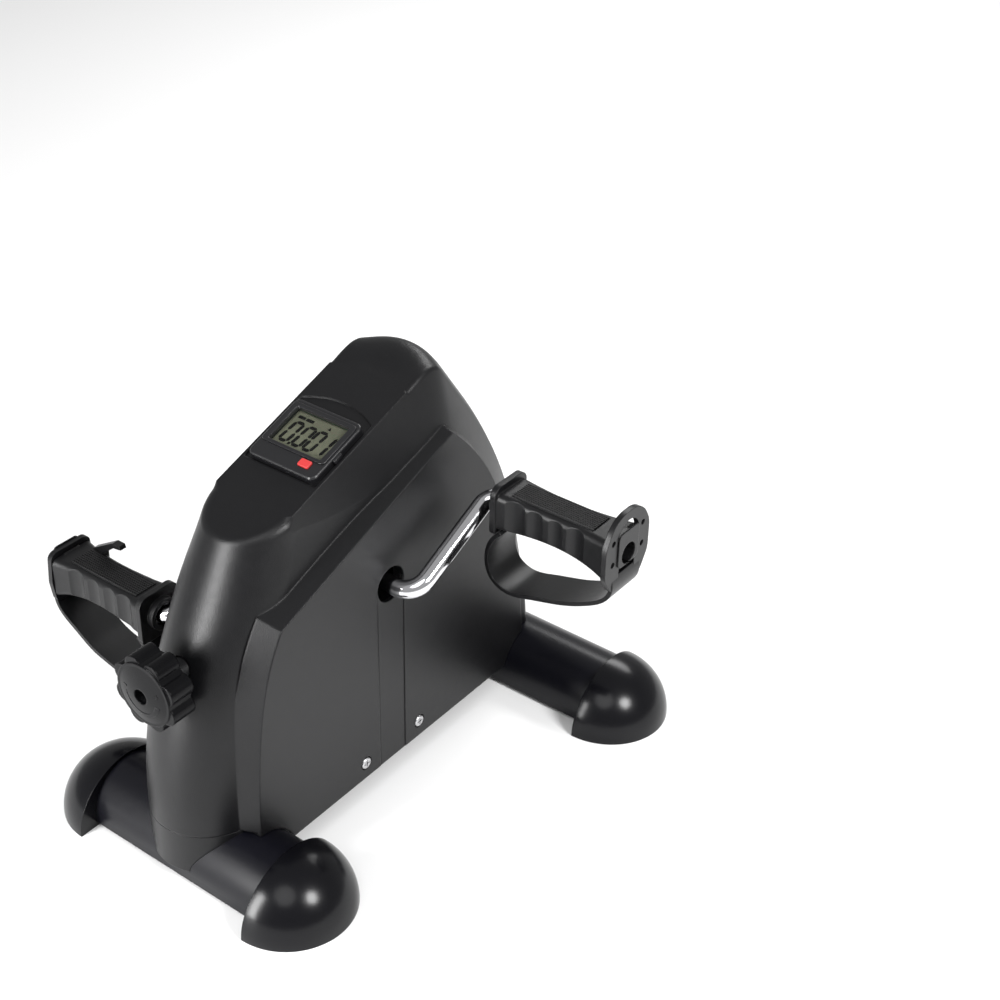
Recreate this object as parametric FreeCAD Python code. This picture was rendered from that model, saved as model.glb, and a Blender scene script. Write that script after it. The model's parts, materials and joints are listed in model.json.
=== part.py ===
import FreeCAD, Part
import math
import os

from FreeCAD import Vector

# Pedal exerciser. Millimetres, +Z up, the rider sits on the -Y side, +X is the rider's right.
# The origin is on the floor, midway between the two floor bars.

# ---- driving dimensions -------------------------------------------------------------------
bar_offset = 152.9          # each floor bar's centre line from the origin, along Y
bar_radius = 32.0           # half-round top of a floor bar
bar_axis_z = 10.8           # height of the half-round's centre
bar_bottom_z = 3.0          # flat underside of a floor bar
bar_wall = 1.8
front_rim = 78.0            # where a front cap's rim stands, from the middle
rear_rim = 131.2            # where a rear cap's rim stands
bar_in_cap = 13.0           # length of bar held inside a cap
cap_depth = 48.4
cap_half_width = 47.1
cap_height = 45.0

housing_bottom = 20.5
wall = 2.5
strip_half = 34.0           # half-width of the flat strip along the top
flare_half = 54.0           # half-width where the sloping shoulders are laid out
nose_half = 42.0            # radius of the rounded nose, seen from above
rear_half = 50.0            # half-width of the housing's side walls at the back
taper_y = 60.0              # the side walls run parallel behind this
panel_half = 54.4           # half-width over the raised side panels
panel_root = 36.0           # where a panel's bevel is laid out, inside the side wall
face_slope = math.radians(19.6)
face_point = (-45.9, 275.2)  # a point (y, z) on the display face
nose_front = -188.0         # foremost line of the rounded nose
nose_arc_from = 50.0        # height where the nose starts to lean back
nose_arc_radius = 290.0
nose_lean = math.radians(28.4)  # slope the nose reaches, and keeps from there up
nose_narrow_from = 205.0    # height where the nose's radius starts to shrink
nose_narrow_rate = 0.13     # how much it shrinks for each millimetre of height
crown_y = 30.0              # where the display face runs into the domed crown
seam_z = 45.5               # seam between the housing's nose and the bib below it

axle_y = -14.25
axle_z = 176.0
crank_radius = 93.7
crank_angle = math.radians(25.9)
rod_radius = 6.75
arm_x = 75.4
bend_radius = 15.0
spindle_radius = 5.5
running_gap = 0.05          # radial clearance of a shaft in its bore

slot_half = 14.1
hole_radius = 13.5
screw_spread = 30.0
screw_z = 34.1

pedal_inner = 88.6
right_outer = 184.0         # outer end of the right pedal's body
left_outer = 180.0
strap_half_width = 16.5
strap_thickness = 3.0
right_guard = 186.5         # where the strap's end plate stands
left_guard = 180.4
right_ear_top = 33.0        # the right strap's end plate stands up as an ear
left_ear_top = 18.0         # the left one stops just above the pedal

knob_z = 166.0
knob_front = -197.0
knob_radius = 28.0
knob_depth = 22.0
knob_stem = 28.5            # how far the knob's stem reaches behind its face
tension_screw_radius = 4.0
screw_hole_radius = 9.0     # hole in the nose for the knob's bush
screw_lead = 2.0            # travel of the brake shoe for one turn of the knob
knob_turns = 5

drum_radius = 40.0
drum_width = 16.0

monitor_width = 59.0
monitor_length = 54.5
monitor_s = 12.3            # middle of the monitor, up the display face from face_point


# ---- helpers -------------------------------------------------------------------------------
def box(x0, x1, y0, y1, z0, z1):
    return Part.makeBox(x1 - x0, y1 - y0, z1 - z0, Vector(x0, y0, z0))


def cylinder_x(x0, x1, y, z, radius):
    return Part.makeCylinder(radius, x1 - x0, Vector(x0, y, z), Vector(1, 0, 0))


def cylinder_y(y0, y1, x, z, radius):
    return Part.makeCylinder(radius, y1 - y0, Vector(x, y0, z), Vector(0, 1, 0))


def ring_x(x0, x1, y, z, outer, inner):
    return cylinder_x(x0, x1, y, z, outer).cut(cylinder_x(x0 - 1, x1 + 1, y, z, inner))


def ring_y(y0, y1, x, z, outer, inner):
    return cylinder_y(y0, y1, x, z, outer).cut(cylinder_y(y0 - 1, y1 + 1, x, z, inner))


def polygon(points):
    return Part.makePolygon([Vector(*p) for p in points] + [Vector(*points[0])])


def prism_x(outline, x0, x1):
    """Extrude a closed outline of (y, z) points from x0 to x1."""
    face = Part.Face(polygon([(x0, y, z) for y, z in outline]))
    return face.extrude(Vector(x1 - x0, 0, 0))


def mirrored(shape):
    return shape.mirror(Vector(0, 0, 0), Vector(1, 0, 0))


def fuse_all(shapes):
    result = shapes[0]
    for shape in shapes[1:]:
        result = result.fuse(shape)
    return result.removeSplitter()


def spline_edge(points):
    curve = Part.BSplineCurve()
    curve.interpolate([Vector(*p) for p in points])
    return curve.toShape()


def line_edge(a, b):
    return Part.LineSegment(Vector(*a), Vector(*b)).toShape()


def rounded_wire(corners, radii):
    """Closed wire of straight runs with a tangent arc of the given radius at each corner."""
    count = len(corners)
    starts = []
    ends = []
    middles = []
    for i in range(count):
        corner = Vector(*corners[i])
        back = (Vector(*corners[i - 1]) - corner).normalize()
        ahead = (Vector(*corners[(i + 1) % count]) - corner).normalize()
        half = back.getAngle(ahead) / 2
        reach = radii[i] / math.tan(half)
        middle_way = (back + ahead).normalize()
        starts.append(corner + back * reach)
        ends.append(corner + ahead * reach)
        middles.append(corner + middle_way * (radii[i] / math.sin(half) - radii[i]))
    edges = []
    for i in range(count):
        edges.append(Part.Arc(starts[i], middles[i], ends[i]).toShape())
        following = starts[(i + 1) % count]
        if (following - ends[i]).Length > 1e-6:
            edges.append(Part.LineSegment(ends[i], following).toShape())
    return Part.Wire(edges)


def rounded_plate(x0, x1, outline, radii):
    """Plate across X whose (y, z) outline has rounded corners."""
    face = Part.Face(rounded_wire([(x0, y, z) for y, z in outline], radii))
    return face.extrude(Vector(x1 - x0, 0, 0))


def rounded_block(width, length, z0, z1, radius):
    """Block about the local origin with rounded upright edges."""
    hw = width / 2
    hl = length / 2
    corners = [(-hw, -hl, z0), (hw, -hl, z0), (hw, hl, z0), (-hw, hl, z0)]
    face = Part.Face(rounded_wire(corners, [radius] * 4))
    return face.extrude(Vector(0, 0, z1 - z0))


def bent_tube(points, radii, radius):
    """Round bar along straight runs joined by tangent arcs."""
    corners = [Vector(*p) for p in points]
    edges = []
    last = corners[0]
    for i in range(1, len(corners) - 1):
        back = (corners[i - 1] - corners[i]).normalize()
        ahead = (corners[i + 1] - corners[i]).normalize()
        half = back.getAngle(ahead) / 2
        reach = radii[i - 1] / math.tan(half)
        start = corners[i] + back * reach
        end = corners[i] + ahead * reach
        way = (back + ahead).normalize()
        middle = corners[i] + way * (radii[i - 1] / math.sin(half) - radii[i - 1])
        if (start - last).Length > 1e-6:
            edges.append(Part.LineSegment(last, start).toShape())
        edges.append(Part.Arc(start, middle, end).toShape())
        last = end
    edges.append(Part.LineSegment(last, corners[-1]).toShape())
    path = Part.Wire(edges)
    direction = (corners[1] - corners[0]).normalize()
    section = Part.Wire([Part.Circle(corners[0], direction, radius).toShape()])
    return path.makePipeShell([section], True, True)


def hexagon_x(x0, x1, y, z, across_flats):
    reach = across_flats / 2 / math.cos(math.radians(30))
    corners = []
    for k in range(6):
        angle = math.radians(60 * k)
        corners.append((y + reach * math.cos(angle), z + reach * math.sin(angle)))
    return prism_x(corners, x0, x1)


def on_face(shape):
    """Move a shape from the monitor's own frame (z out of the display face) into place."""
    middle_y = face_point[0] + monitor_s * math.cos(face_slope)
    middle_z = face_point[1] + monitor_s * math.sin(face_slope)
    turn = FreeCAD.Rotation(Vector(1, 0, 0), math.degrees(face_slope))
    moved = shape.copy()
    moved.Placement = FreeCAD.Placement(Vector(0, middle_y, middle_z), turn).multiply(moved.Placement)
    return moved


# ---- floor bars and their caps -------------------------------------------------------------
def bar_section(shrink):
    """Outline (y, z) parts of a floor bar: half round on top, flat sides and underside."""
    radius = bar_radius - shrink
    bottom = bar_bottom_z + shrink
    left = Vector(0, -radius, bar_axis_z)
    top = Vector(0, 0, bar_axis_z + radius)
    right = Vector(0, radius, bar_axis_z)
    low_right = Vector(0, radius, bottom)
    low_left = Vector(0, -radius, bottom)
    edges = [
        Part.Arc(left, top, right).toShape(),
        Part.LineSegment(right, low_right).toShape(),
        Part.LineSegment(low_right, low_left).toShape(),
        Part.LineSegment(low_left, left).toShape(),
    ]
    return Part.Face(Part.Wire(edges))


def bar_solid(half_length, shrink):
    solid = bar_section(shrink).extrude(Vector(2 * half_length, 0, 0))
    solid.translate(Vector(-half_length, 0, 0))
    return solid


def floor_bar(half_length, y):
    tube = bar_solid(half_length, 0).cut(bar_solid(half_length + 1, bar_wall))
    tube.translate(Vector(0, y, 0))
    return tube


def quarter_egg(depth, half_width, height):
    """Quarter of an ellipsoid: above the floor and outside the plane x = 0."""
    ball = Part.makeSphere(1.0, Vector(0, 0, 0), Vector(0, 0, 1), -20, 90, 180)
    ball.rotate(Vector(0, 0, 0), Vector(0, 0, 1), -90)
    stretch = FreeCAD.Matrix()
    stretch.scale(depth, half_width, height)
    above_floor = box(-10, 2 * depth, -2 * half_width, 2 * half_width, 0, 2 * height)
    return ball.transformGeometry(stretch).common(above_floor)


def end_cap(rim, y):
    """Glossy quarter-egg cap over the bar's right-hand end, open towards the bar."""
    skin = 3.0
    dome = quarter_egg(cap_depth, cap_half_width, cap_height)
    hollow = quarter_egg(cap_depth - skin, cap_half_width - skin, cap_height - skin)
    hollow = hollow.common(box(bar_in_cap, 100, -100, 100, skin, 100))
    pocket = bar_solid(bar_in_cap, 0)
    cap = dome.cut(hollow).cut(pocket)
    cap.translate(Vector(rim, y, 0))
    return cap


# ---- housing -------------------------------------------------------------------------------
middle_back = [
    (45, 308), (58, 312), (66, 311.5), (78, 301), (89, 286), (110, 257), (131, 222),
    (146, 190), (158, 155), (170, 110), (176, 65), (177, 10),
]
strip_back = [
    (43, 307.5), (54, 309), (62, 306.5), (70, 298), (80, 284), (98, 259), (118, 228),
    (134, 198), (147, 167), (161, 116), (169, 68), (172, 10),
]
flare_back = [
    (43, 236), (50, 238), (57, 237), (64, 233), (72, 226), (86, 209), (102, 184),
    (116, 160), (128, 134), (142, 98), (151, 52), (153, 10),
]
panel_front = [(-152, 10), (-152, 60), (-148, 115), (-138, 165), (-122, 199), (54, 266)]
bevel_front = [(-158, 10), (-158, 74), (-154, 120), (-143, 168), (-125, 203), (53, 272)]
left_panel_front = [(-146, 10), (-146, 60), (-139, 100), (-122, 146), (-92, 206), (54, 266)]
left_bevel_front = [(-152, 10), (-152, 64), (-145, 103), (-128, 150), (-96, 211), (53, 272)]
panel_back = [(54, 266), (76, 243), (96, 215), (115, 175), (130, 132), (140, 80), (146, 10)]
bevel_back = [(53, 272), (80, 249), (101, 219), (120, 178), (135, 134), (145, 81), (151, 10)]


def face_height(y):
    return face_point[1] + (y - face_point[0]) * math.tan(face_slope)


def flare_height(y):
    """Height of the sloping shoulder where it reaches the flare's half-width."""
    return 128 + (y + 123) * 0.664


def side_outline(inset, x, height, back):
    """Closed outline of the housing seen from the side: sloping top, crown and curved back."""
    far_front = -240.0
    start = (x, far_front, height(far_front) - inset)
    crown = (x, crown_y, height(crown_y) - inset)
    rear = [crown] + [(x, y - inset, z - inset * (z > 200)) for y, z in back]
    foot = (x, far_front, back[-1][1])
    edges = [line_edge(start, crown), spline_edge(rear), line_edge(rear[-1], foot), line_edge(foot, start)]
    return Part.Wire(edges)


def roof_solid(inset):
    """Housing without its nose: a domed strip on top, shoulders that slope out to the side walls."""
    strip = strip_half - inset * 0.6
    middle = 18.0
    flare = flare_half - inset
    edge_left = side_outline(inset, -strip, face_height, strip_back)
    middle_left = side_outline(inset, -middle, face_height, middle_back)
    middle_right = side_outline(inset, middle, face_height, middle_back)
    edge_right = side_outline(inset, strip, face_height, strip_back)
    far_right = side_outline(inset, flare, flare_height, flare_back)
    top = Part.makeLoft([edge_left, middle_left, middle_right, edge_right], True, False)
    shoulder = Part.makeLoft([edge_right, far_right], True, True)
    return top.fuse([shoulder, mirrored(shoulder)])


def nose_y(z):
    """Front of the nose at a height: upright, then along an arc, then leaning back straight."""
    if z <= nose_arc_from:
        return nose_front
    arc_top = nose_arc_from + nose_arc_radius * math.sin(nose_lean)
    if z <= arc_top:
        return nose_front + nose_arc_radius - math.sqrt(nose_arc_radius ** 2 - (z - nose_arc_from) ** 2)
    arc_end = nose_front + nose_arc_radius * (1 - math.cos(nose_lean))
    return arc_end + (z - arc_top) * math.tan(nose_lean)


def nose_radius(z):
    return nose_half - max(0.0, z - nose_narrow_from) * nose_narrow_rate


def nose_section(z, inset):
    """The housing's plan at a height: half-round nose, side walls that widen towards the back."""
    radius = nose_radius(z) - inset
    back_half = rear_half - inset
    centre_y = nose_y(z) + nose_radius(z)
    turn_y = max(taper_y, centre_y + 30)
    far = 200.0
    arc = Part.Arc(Vector(-radius, centre_y, z), Vector(0, centre_y - radius, z), Vector(radius, centre_y, z))
    edges = [
        arc.toShape(),
        line_edge((radius, centre_y, z), (back_half, turn_y, z)),
        line_edge((back_half, turn_y, z), (back_half, far, z)),
        line_edge((back_half, far, z), (-back_half, far, z)),
        line_edge((-back_half, far, z), (-back_half, turn_y, z)),
        line_edge((-back_half, turn_y, z), (-radius, centre_y, z)),
    ]
    return Part.Wire(edges)


def nose_solid(inset):
    levels = [0, 25, 50, 75, 100, 130, 160, 188, 205, 225, 250, 285, 320]
    return Part.makeLoft([nose_section(z, inset) for z in levels], True, False)


def panel_solid(panel_edge, bevel_edge):
    """Raised side panel on the right, with bevelled edges that run into the wall and the nose."""
    reach = (panel_half - panel_root) / (panel_half - 40.0)

    def wire(x, front, back):
        edges = [spline_edge([(x,) + p for p in front[:-1]]), line_edge((x,) + front[-2], (x,) + front[-1])]
        edges.append(spline_edge([(x,) + p for p in back]))
        edges.append(line_edge((x,) + back[-1], (x,) + front[0]))
        return Part.Wire(edges)

    def spread(inner, outer):
        return [(a[0] + (b[0] - a[0]) * reach, a[1] + (b[1] - a[1]) * reach) for a, b in zip(inner, outer)]

    root = wire(panel_root, spread(panel_edge, bevel_edge), spread(panel_back, bevel_back))
    top = wire(panel_half, panel_edge, panel_back)
    return Part.makeLoft([root, top], True, True)


def panel_pocket():
    """Hollow behind the raised panel, so that its wall is as thin as the rest."""
    outline = [
        (-112, 5), (-112, 62), (-126, 76), (-118, 115), (-82, 188), (48, 250), (70, 232),
        (90, 200), (109, 158), (121, 115), (127, 76), (112, 62), (112, 5),
    ]
    whole = prism_x(outline, nose_half - 4, panel_half - wall)
    rib = box(0, 100, axle_y - slot_half - 4, axle_y + slot_half + 4, 0, axle_z)
    boss = cylinder_x(0, 100, axle_y, axle_z, slot_half + 4)
    return whole.cut(rib.fuse(boss))


def bar_clearance(y):
    clear = 0.6
    saddle = cylinder_x(-90, 90, y, bar_axis_z, bar_radius + clear)
    below = box(-90, 90, y - bar_radius - clear, y + bar_radius + clear, -20, bar_axis_z)
    return saddle.fuse(below)


def monitor_recess():
    """Shallow recess around the monitor, arched at its upper end."""
    hw = monitor_width / 2 + 2.2
    low = -monitor_length / 2 - 1.5
    high = monitor_length / 2 + 4
    crown = monitor_length / 2 + 12.5
    floor = -1.2
    edges = [
        line_edge((-hw, low, floor), (hw, low, floor)),
        line_edge((hw, low, floor), (hw, high, floor)),
        Part.Arc(Vector(hw, high, floor), Vector(0, crown, floor), Vector(-hw, high, floor)).toShape(),
        line_edge((-hw, high, floor), (-hw, low, floor)),
    ]
    return Part.Face(Part.Wire(edges)).extrude(Vector(0, 0, 20))


def softened(shape):
    """Round the crease between nose and display face, and the shoulders' edges."""
    crease = []
    shoulder = []
    rear = []
    for edge in shape.Edges:
        middle = edge.valueAt((edge.FirstParameter + edge.LastParameter) / 2)
        if edge.Length < 15:
            continue
        if abs(middle.x) < 1 and middle.y < -100 and 230 < middle.z < 270:
            crease.append(edge)
        elif strip_half + 1 < abs(middle.x) < 48 and -80 < middle.y < crown_y and middle.z > 200:
            shoulder.append(edge)
        elif abs(abs(middle.x) - strip_half) < 0.5 and middle.y > 60 and middle.z > 60:
            rear.append(edge)
    for radius, edges in ((9.0, crease), (4.0, shoulder), (4.0, rear)):
        shape = shape_with_fillet(shape, radius, edges)
    return shape


def shape_with_fillet(shape, radius, edges):
    """Fillet the shape's edges that run through the middles of the given ones."""
    chosen = []
    for edge in edges:
        middle = edge.valueAt((edge.FirstParameter + edge.LastParameter) / 2)
        nearest = min(shape.Edges, key=lambda e: (e.valueAt((e.FirstParameter + e.LastParameter) / 2) - middle).Length)
        chosen.append(nearest)
    return shape.makeFillet(radius, chosen) if chosen else shape


def housing_shell():
    outer = softened(roof_solid(0).common(nose_solid(0)))
    right_panel = panel_solid(panel_front, bevel_front)
    left_panel = mirrored(panel_solid(left_panel_front, left_bevel_front))
    outer = outer.fuse([right_panel, left_panel])
    inner = roof_solid(wall).common(nose_solid(wall))
    pad = on_face(rounded_block(monitor_width + 6, monitor_length + 6, -5.0, -1.5, 3))
    shell = outer.cut(inner).fuse(pad)
    shell = shell.cut(on_face(monitor_recess()))
    shell = shell.cut(on_face(rounded_block(monitor_width - 4, monitor_length - 4, -12, 4, 3)))
    shell = shell.cut(panel_pocket()).cut(mirrored(panel_pocket()))
    shell = shell.cut(box(-90, 90, -240, 240, -20, housing_bottom))
    shell = shell.cut(box(-90, 90, -240, -bar_offset, -20, seam_z + 0.3))
    shell = shell.cut(bar_clearance(-bar_offset)).cut(bar_clearance(bar_offset))
    slot = box(nose_half - 6, 90, axle_y - slot_half, axle_y + slot_half, 0, axle_z)
    hole = cylinder_x(nose_half - 6, 90, axle_y, axle_z, slot_half)
    opening = slot.fuse(hole)
    shell = shell.cut(opening).cut(mirrored(opening))
    for sign in (-1, 1):
        y = axle_y + sign * screw_spread
        shell = shell.cut(cylinder_x(-90, 90, y, screw_z, 2.6))
        shell = shell.cut(cylinder_x(panel_half - 1.6, 90, y, screw_z, 5.4))
        shell = shell.cut(cylinder_x(-90, -panel_half + 1.6, y, screw_z, 5.4))
    shell = shell.cut(cylinder_y(-220, -120, 0, knob_z, screw_hole_radius))
    return max(shell.Solids, key=lambda s: s.Volume)


def slot_cover():
    """Strip that closes the slot below the crank's hole on the right-hand side."""
    gap = 0.4
    face = panel_half - 0.3
    plate = box(face - 3.0, face, axle_y - slot_half + gap, axle_y + slot_half - gap, housing_bottom, axle_z)
    tongue = box(face - 9.0, face - 3.0, axle_y - slot_half + 2, axle_y + slot_half - 2, housing_bottom, 150)
    hole = cylinder_x(0, 90, axle_y, axle_z, hole_radius)
    return plate.fuse(tongue).cut(hole).removeSplitter()


def front_bib():
    """Foot of the nose below its seam, hugging the front bar's top and front."""
    block = nose_solid(0).common(box(-60, 60, -240, -bar_offset, 12.5, seam_z))
    block = block.cut(cylinder_x(-90, 90, -bar_offset, bar_axis_z, bar_radius))
    block = block.cut(box(-90, 90, -bar_offset - bar_radius, 0, -10, bar_axis_z))
    return max(block.Solids, key=lambda s: s.Volume)


# ---- frame inside --------------------------------------------------------------------------
spine_half = 15.0
spine_low = 24.0
spine_high = 40.0
bracket_x = 24.0
bracket_thickness = 4.0
tab_end = panel_half - wall   # the spine's side tabs meet the housing's wall here
bolt_x = 8.5
bolt_y = 40.0                 # the bracket's bolts from the axle, along Y


def frame_spine():
    reach = bar_offset
    beam = box(-spine_half, spine_half, -reach, reach, spine_low, spine_high)
    beam = beam.cut(box(-spine_half + 2, spine_half - 2, -reach - 1, reach + 1, spine_low + 2, spine_high - 2))
    tabs = []
    for sign in (-1, 1):
        y = axle_y + sign * screw_spread
        tabs.append(box(-tab_end, tab_end, y - 7, y + 7, spine_low, spine_low + 2.5))
        for side in (-1, 1):
            x = side * tab_end
            tab = box(min(x, x - side * 2.5), max(x, x - side * 2.5), y - 7, y + 7, spine_low, 43)
            tabs.append(tab.cut(cylinder_x(-60, 60, y, screw_z, 2.2)))
    solid = beam.fuse(tabs)
    for sign in (-1, 1):
        y = sign * bar_offset
        solid = solid.cut(cylinder_x(-60, 60, y, bar_axis_z, bar_radius))
        solid = solid.cut(box(-60, 60, y - bar_radius, y + bar_radius, -10, bar_axis_z))
        for side in (-1, 1):
            centre = Vector(side * bolt_x, axle_y + sign * bolt_y, spine_high - 4)
            solid = solid.cut(Part.makeCylinder(3.3, 10, centre))
    return solid.removeSplitter()


def bearing_bracket():
    """Upright plate on the right of the spine that carries one end of the axle."""
    foot = 52.0
    head = 17.0
    outline = [
        (axle_y - foot, spine_high), (axle_y + foot, spine_high), (axle_y + foot, spine_high + 12),
        (axle_y + head, axle_z + 4), (axle_y + head * 0.6, axle_z + head), (axle_y - head * 0.6, axle_z + head),
        (axle_y - head, axle_z + 4), (axle_y - foot, spine_high + 12),
    ]
    plate = prism_x(outline, bracket_x, bracket_x + bracket_thickness)
    web = [
        (axle_y - 24, spine_high + 20), (axle_y + 24, spine_high + 20),
        (axle_y + 9, axle_z - 30), (axle_y - 9, axle_z - 30),
    ]
    plate = plate.cut(prism_x(web, 0, 60))
    flange = box(spine_half - 13, bracket_x, axle_y - foot, axle_y + foot, spine_high, spine_high + 3)
    plate = plate.fuse(flange)
    for sign in (-1, 1):
        hole = Part.makeCylinder(3.3, 30, Vector(bolt_x, axle_y + sign * bolt_y, spine_high - 10))
        plate = plate.cut(hole)
    return plate.cut(cylinder_x(0, 60, axle_y, axle_z, 12.0)).removeSplitter()


def axle_bush():
    body = ring_x(bracket_x - 2, bracket_x + bracket_thickness + 5, axle_y, axle_z, 12.0, rod_radius + running_gap)
    rim = ring_x(bracket_x + bracket_thickness, bracket_x + bracket_thickness + 2, axle_y, axle_z, 15.0, 11.0)
    return body.fuse(rim).removeSplitter()


def bracket_bolt(side, sign):
    x = side * bolt_x
    y = axle_y + sign * bolt_y
    shank = Part.makeCylinder(3.2, 5.2, Vector(x, y, spine_high - 2))
    head = Part.makeCylinder(5.5, 3.6, Vector(x, y, spine_high + 3))
    nut = Part.makeCylinder(4.4, 4.0, Vector(x, y, spine_high - 6))
    return shank.fuse([head, nut]).removeSplitter()


def housing_screw(side, sign):
    y = axle_y + sign * screw_spread
    head_x = panel_half - 1.6
    shank = cylinder_x(44.0, head_x + 0.2, y, screw_z, 2.2)
    head = cylinder_x(head_x, head_x + 2.4, y, screw_z, 4.6)
    edge = head.Edges
    rim = [e for e in edge if abs(e.CenterOfMass.x - head_x - 2.4) < 0.01 and e.Length > 20]
    head = head.makeFillet(1.2, rim)
    cross = box(head_x + 1.1, head_x + 4, y - 2.6, y + 2.6, screw_z - 0.5, screw_z + 0.5)
    cross = cross.fuse(box(head_x + 1.1, head_x + 4, y - 0.5, y + 0.5, screw_z - 2.6, screw_z + 2.6))
    screw = shank.fuse(head).cut(cross).removeSplitter()
    return screw if side > 0 else mirrored(screw)


# ---- brake ---------------------------------------------------------------------------------
shoe_travel = screw_lead * knob_turns
shoe_gap = 0.5
pad_thickness = 6.0
pad_front = axle_y - drum_radius - shoe_travel - shoe_gap
guide_half = 12.0


def brake_pad():
    """Felt pad, hollowed to the drum's curve."""
    block = box(-7, 7, pad_front - pad_thickness - 6, pad_front + 8, knob_z - 10, knob_z + 26)
    hug = cylinder_x(-20, 20, axle_y - shoe_travel, axle_z, drum_radius + shoe_gap)
    back = cylinder_x(-20, 20, axle_y - shoe_travel, axle_z, drum_radius + shoe_gap + pad_thickness)
    return block.common(back).cut(hug)


def shoe_carrier():
    back = cylinder_x(-20, 20, axle_y - shoe_travel, axle_z, drum_radius + shoe_gap + pad_thickness)
    rear = pad_front - pad_thickness
    block = box(-9, 9, rear - 20, pad_front + 8, knob_z - 10, knob_z + 26)
    block = block.cut(back).cut(box(-20, 20, rear - 30, rear - 8, knob_z + 10, knob_z + 40))
    block = block.cut(cylinder_y(rear - 40, rear + 20, 0, knob_z, tension_screw_radius + running_gap))
    return max(block.Solids, key=lambda s: s.Volume)


def brake_guide():
    """Channel on the spine in which the shoe carrier slides without turning."""
    rear = pad_front - pad_thickness
    y0 = rear - 32
    y1 = rear + 4
    floor = box(-guide_half, guide_half, y0, y1, knob_z - 13.6, knob_z - 10.6)
    sides = []
    for side in (-1, 1):
        inner = side * 9.6
        outer = side * 12.0
        sides.append(box(min(inner, outer), max(inner, outer), y0, y1, knob_z - 13.6, knob_z + 6))
    end = box(-guide_half, guide_half, y0 - 3, y0, knob_z - 13.6, knob_z + 12)
    end = end.cut(cylinder_y(y0 - 10, y0 + 10, 0, knob_z, tension_screw_radius + running_gap))
    post = box(-guide_half, guide_half, y0, y0 + 4, spine_high, knob_z - 13.6)
    foot = box(-guide_half, guide_half, y0, y0 + 22, spine_high, spine_high + 4)
    return floor.fuse(sides + [end, post, foot]).removeSplitter()


def knob_bush():
    """Flanged bush in the housing's nose that the knob's screw turns in."""
    front = nose_y(knob_z)
    body = ring_y(front - 3, front + 9, 0, knob_z, 8.6, tension_screw_radius + running_gap)
    collar = ring_y(front + 9, front + 12, 0, knob_z, 12.0, tension_screw_radius + running_gap)
    return body.fuse(collar).removeSplitter()


def tension_screw():
    rear = pad_front - pad_thickness
    rod = cylinder_y(knob_front + 6, rear - 1.5, 0, knob_z, tension_screw_radius)
    flats = box(-10, 10, knob_front + 6, knob_front + 16, knob_z + 2.8, knob_z + 10)
    return rod.cut(flats)


def knob():
    """Eight-lobed hand knob with a domed face and a keyed socket for the screw."""
    lobes = 8
    back = knob_front + knob_depth
    core = cylinder_y(knob_front + 2.5, back, 0, knob_z, knob_radius - 4.5)
    parts = [core]
    for k in range(lobes):
        angle = 2 * math.pi * (k + 0.5) / lobes
        cx = (knob_radius - 7.5) * math.cos(angle)
        cz = knob_z + (knob_radius - 7.5) * math.sin(angle)
        parts.append(cylinder_y(knob_front + 3.5, back, cx, cz, 7.5))
    body = fuse_all(parts)
    dome_radius = 90.0
    dome = Part.makeSphere(dome_radius, Vector(0, knob_front + dome_radius, knob_z))
    face = cylinder_y(knob_front, knob_front + 6, 0, knob_z, knob_radius - 5.5).common(dome)
    body = body.fuse(face)
    socket = cylinder_y(knob_front - 1, knob_front + 16, 0, knob_z, 5.6)
    rear_hollow = ring_y(back - 9, back + 1, 0, knob_z, knob_radius - 9, 9.0)
    body = body.cut(socket).cut(rear_hollow)
    stem = cylinder_y(knob_front + 16, knob_front + knob_stem, 0, knob_z, 8.0)
    body = body.fuse(stem).cut(cylinder_y(knob_front, back + 10, 0, knob_z, tension_screw_radius))
    return body.removeSplitter()


# ---- crank ---------------------------------------------------------------------------------
def spindle_place(side):
    y = axle_y + side * crank_radius * math.cos(crank_angle)
    z = axle_z + side * crank_radius * math.sin(crank_angle)
    return y, z


spindle_shoulder = pedal_inner - 1.5
spindle_end = left_outer - 3.0


def crank_rod():
    ry, rz = spindle_place(1)
    ly, lz = spindle_place(-1)
    points = [
        (-spindle_shoulder, ly, lz), (-arm_x, ly, lz), (-arm_x, axle_y, axle_z),
        (arm_x, axle_y, axle_z), (arm_x, ry, rz), (spindle_shoulder, ry, rz),
    ]
    small = spindle_shoulder - arm_x
    rod = bent_tube(points, [small * 0.98, bend_radius, bend_radius, small * 0.98], rod_radius)
    right = cylinder_x(spindle_shoulder - 1, spindle_end, ry, rz, spindle_radius)
    left = cylinder_x(-spindle_end, -spindle_shoulder + 1, ly, lz, spindle_radius)
    return rod.fuse([right, left]).removeSplitter()


def friction_drum():
    half = drum_width / 2
    rim = ring_x(-half, half, axle_y, axle_z, drum_radius, drum_radius - 5)
    web = ring_x(-2.5, 2.5, axle_y, axle_z, drum_radius - 4, 13.0)
    for k in range(6):
        angle = math.radians(60 * k)
        y = axle_y + 24 * math.cos(angle)
        z = axle_z + 24 * math.sin(angle)
        web = web.cut(cylinder_x(-10, 10, y, z, 6.0))
    return rim.fuse(web).removeSplitter()


def drum_hub():
    hub = ring_x(-10, 10, axle_y, axle_z, 13.0, rod_radius)
    pin_hole = Part.makeCylinder(2.5, 40, Vector(6.3, axle_y, axle_z - 20))
    return hub.cut(pin_hole)


def axle_collar():
    x0 = bracket_x + bracket_thickness + 5.4
    return ring_x(x0, x0 + 6, axle_y, axle_z, 11.0, rod_radius)


def hub_pin():
    pin = Part.makeCylinder(2.5, 6.0, Vector(6.3, axle_y, axle_z + rod_radius))
    return pin


def drum_magnet():
    return cylinder_x(2.5, 6.5, axle_y, axle_z - 30.5, 3.5)


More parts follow.
